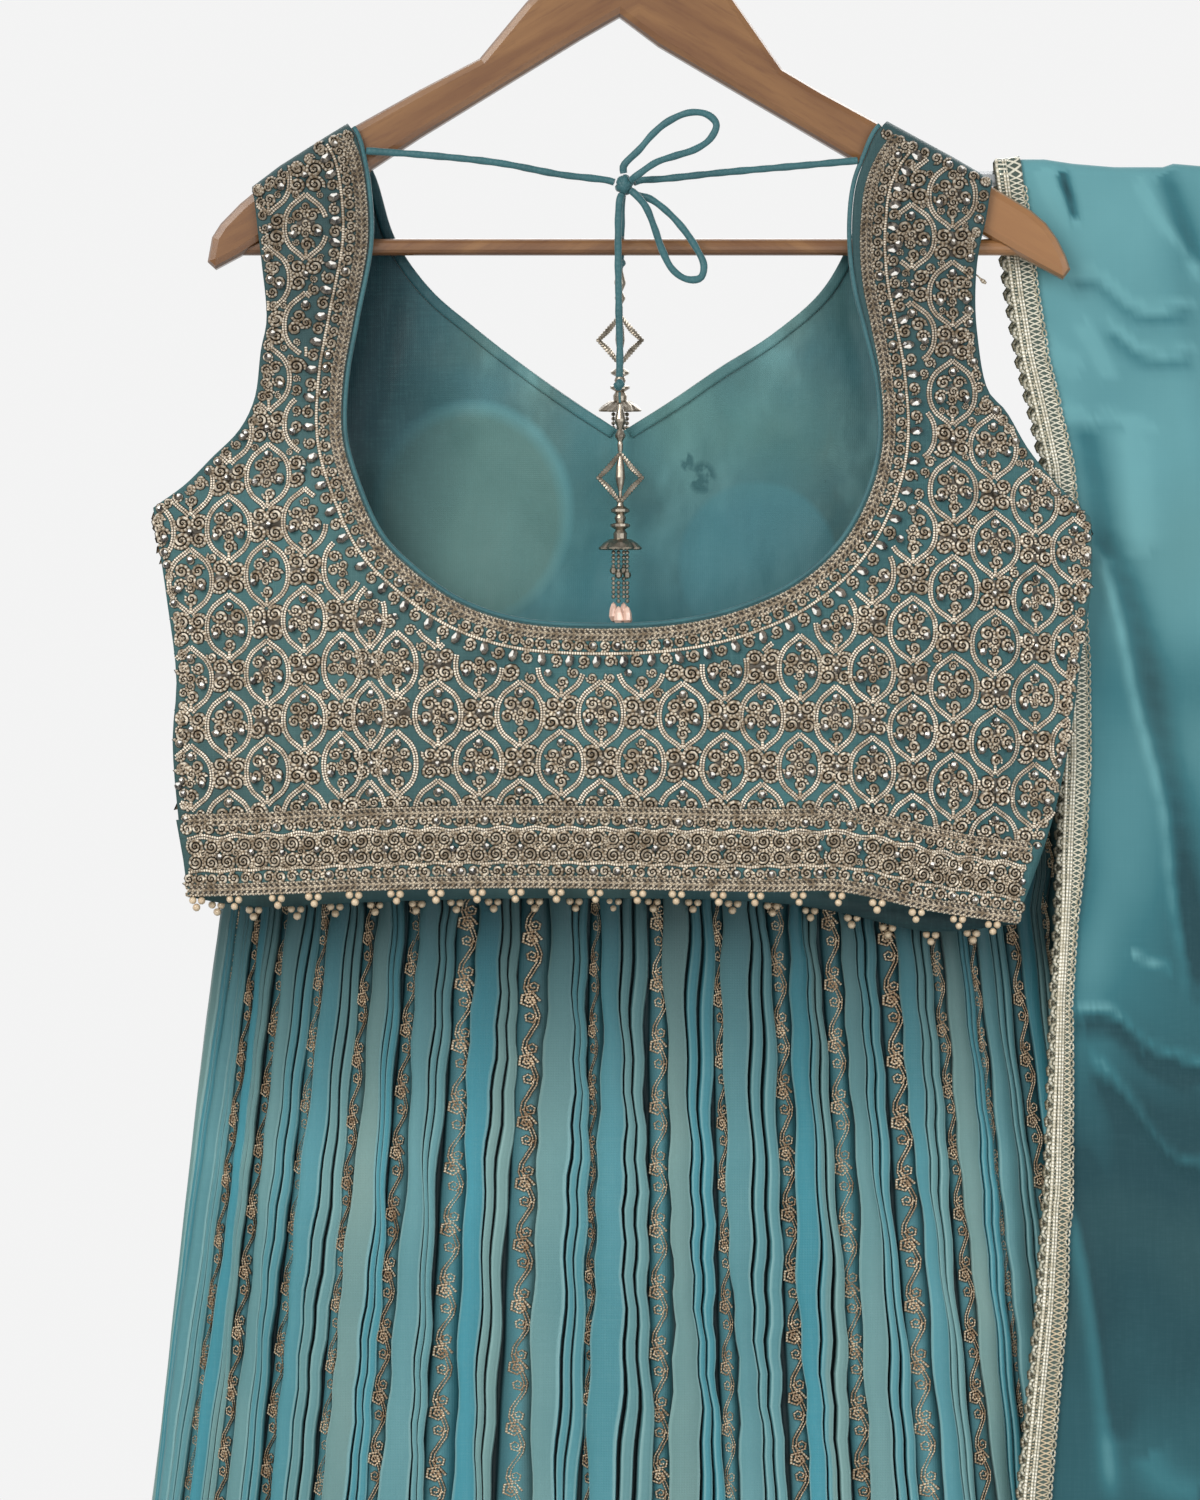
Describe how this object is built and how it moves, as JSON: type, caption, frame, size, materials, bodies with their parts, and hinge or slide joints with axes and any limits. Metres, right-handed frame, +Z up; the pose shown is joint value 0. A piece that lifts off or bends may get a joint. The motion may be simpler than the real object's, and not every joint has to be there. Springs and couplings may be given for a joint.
{
  "type": "lehenga outfit on hangers",
  "caption": "Embroidered scoop-back blouse, pleated long skirt and lace-edged scarf, hung on a wooden hanger and an open-ended rod hanger.",
  "frame": {"origin": "inside top of the wooden hanger's hook, where a wardrobe rail carries it; the scarf's hanger hooks over the same rail", "axes": "+Z up along the hanging cloth, +X to the viewer's right along the rail, -Y towards the viewer, who sees the blouse's back"},
  "size_m": [0.8411, 0.1937, 1.4925],
  "materials": {
    "embroidered_cloth": "teal crepe covered with champagne cord work",
    "lining_cloth": "smooth teal lining cloth",
    "skirt_cloth": "soft sheen pleated crepe with gold vine work",
    "scarf_cloth": "light matt georgette",
    "lace": "pale gold metallic lace",
    "cord_cloth": "stitched cloth cord and ribbon",
    "wood": "satin lacquered orange-brown wood",
    "steel": "polished plated wire",
    "bead_metal": "antique silver beads and chain with pale crystal drops"
  },
  "bodies": {
    "root": {"hanger_body": "wood", "hanger_bar": "wood", "hanger_hook": "steel", "blouse_back": "embroidered_cloth", "blouse_front": "lining_cloth", "blouse_back_band": "embroidered_cloth", "blouse_front_band": "embroidered_cloth", "neck_piping": "cord_cloth", "neck_facing_left": "lining_cloth", "neck_facing_right": "lining_cloth", "dori_left": "cord_cloth", "dori_right": "cord_cloth", "dori_knot": "cord_cloth", "dori_loop_upper": "cord_cloth", "dori_loop_lower": "cord_cloth", "dori_tail_front": "cord_cloth", "dori_tail_back": "cord_cloth", "dori_end_knot": "cord_cloth", "tassel_thread": "cord_cloth", "tassel_lower": "bead_metal", "tassel_upper": "bead_metal", "skirt_front": "skirt_cloth", "skirt_back": "skirt_cloth", "skirt_waistband": "skirt_cloth", "hanging_ribbon_left": "cord_cloth", "hanging_ribbon_right": "cord_cloth", "scarf": "scarf_cloth", "scarf_lace": "lace", "scarf_hanger": "steel"}
  },
  "joints": []
}
